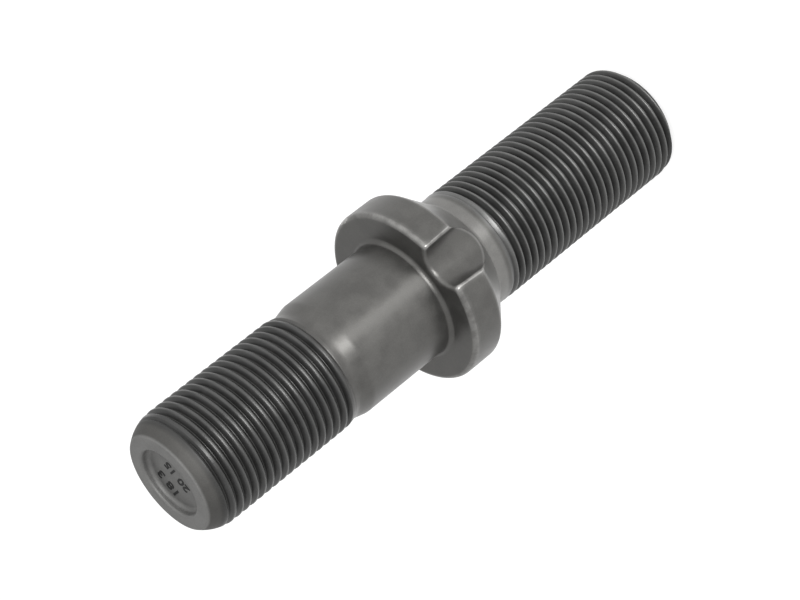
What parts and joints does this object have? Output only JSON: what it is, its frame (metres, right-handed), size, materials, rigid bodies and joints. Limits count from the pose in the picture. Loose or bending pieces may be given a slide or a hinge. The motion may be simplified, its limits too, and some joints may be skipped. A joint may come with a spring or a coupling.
{
  "type": "wheel stud bolt",
  "caption": "Double-ended wheel bolt: a thread at each end, a plain shank, and a notched collar with a flat seat and a conical back.",
  "frame": {"origin": "centre of the flat end face of the long thread, which the bolt stands on", "axes": "+Z along the bolt's axis, from the long thread to the short one; -Y is the side of the collar with the notch"},
  "size_m": [0.03, 0.0295, 0.1026],
  "materials": {
    "phosphated_steel": "dark satin phosphate over rolled steel"
  },
  "bodies": {
    "root": {"wheel_bolt": "phosphated_steel"}
  },
  "joints": []
}
